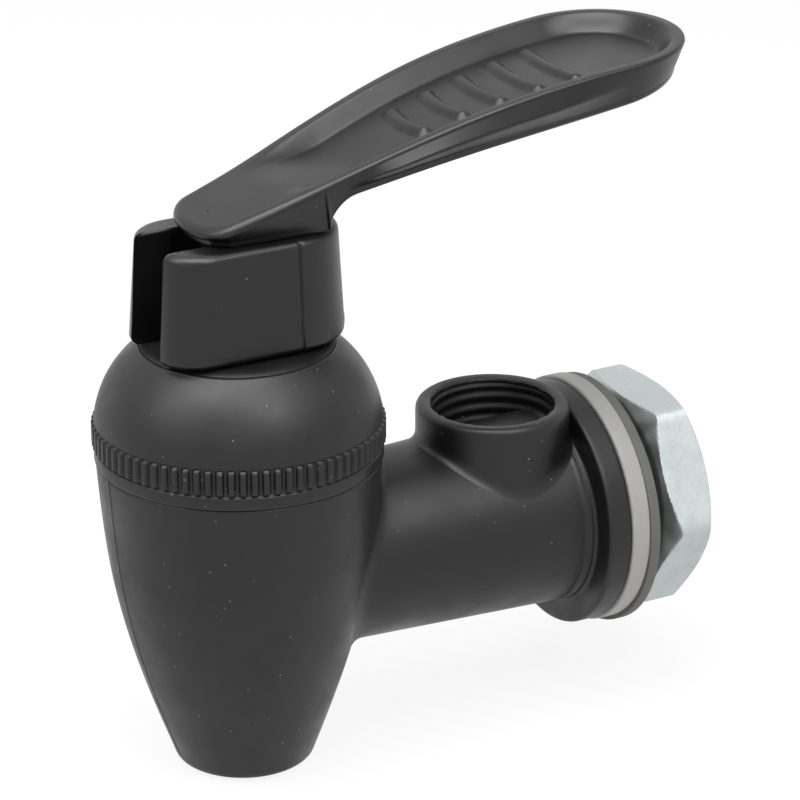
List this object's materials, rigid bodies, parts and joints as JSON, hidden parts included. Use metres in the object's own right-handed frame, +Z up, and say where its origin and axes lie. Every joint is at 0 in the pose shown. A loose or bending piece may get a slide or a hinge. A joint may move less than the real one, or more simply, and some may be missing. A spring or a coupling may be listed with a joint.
{
  "type": "dispensing tap",
  "caption": "Lever-operated drinks dispenser tap with a hanging spout, knurled bonnet, sight-gauge port, washers and hex nut on a threaded shank.",
  "frame": {"origin": "on the shank's axis at the flange's sealing face", "axes": "+Y along the shank into the vessel's wall, +Z up, spout and lever nose at -Y"},
  "size_m": [0.036, 0.0809, 0.0871],
  "materials": {
    "body_plastic": "moulded matte black",
    "handle_plastic": "moulded satin black",
    "stem_plastic": "moulded black",
    "spring_steel": "drawn wire",
    "cup_silicone": "moulded silicone",
    "washer_silicone": "moulded grey silicone",
    "washer_rubber": "cut dark rubber",
    "zinc_steel": "bright zinc plate"
  },
  "bodies": {
    "tap_body": {"body": "body_plastic", "bonnet": "body_plastic", "seal_washer": "washer_silicone", "backing_washer": "washer_rubber", "hex_nut": "zinc_steel", "seat_cup": "cup_silicone"},
    "turning_spring": {"spring": "spring_steel"},
    "lever": {"handle": "handle_plastic"},
    "valve_stem": {"stem": "stem_plastic"}
  },
  "joints": [
    {"name": "handle_swivel", "type": "hinge", "parent": "tap_body", "child": "turning_spring", "pos_m": [0, -0.0474, 0.0312], "axis": [0, 0, 1], "continuous": true},
    {"name": "handle_press", "type": "hinge", "parent": "turning_spring", "child": "lever", "pos_m": [0, -0.0364, 0.03123], "axis": [-1, 0, 0], "range_deg": [0, 15], "stiffness_Nm_per_rad": 0.15, "springref_deg": -51.57},
    {"name": "stem_lift", "type": "slide", "parent": "turning_spring", "child": "valve_stem", "axis": [0, 0, 1], "range_m": [0, 0.00331], "deforming": ["spring", "seat_cup"]}
  ],
  "couplings": [
    {"joint": "handle_press", "follows": "stem_lift", "rad_per_m": 79.09}
  ]
}
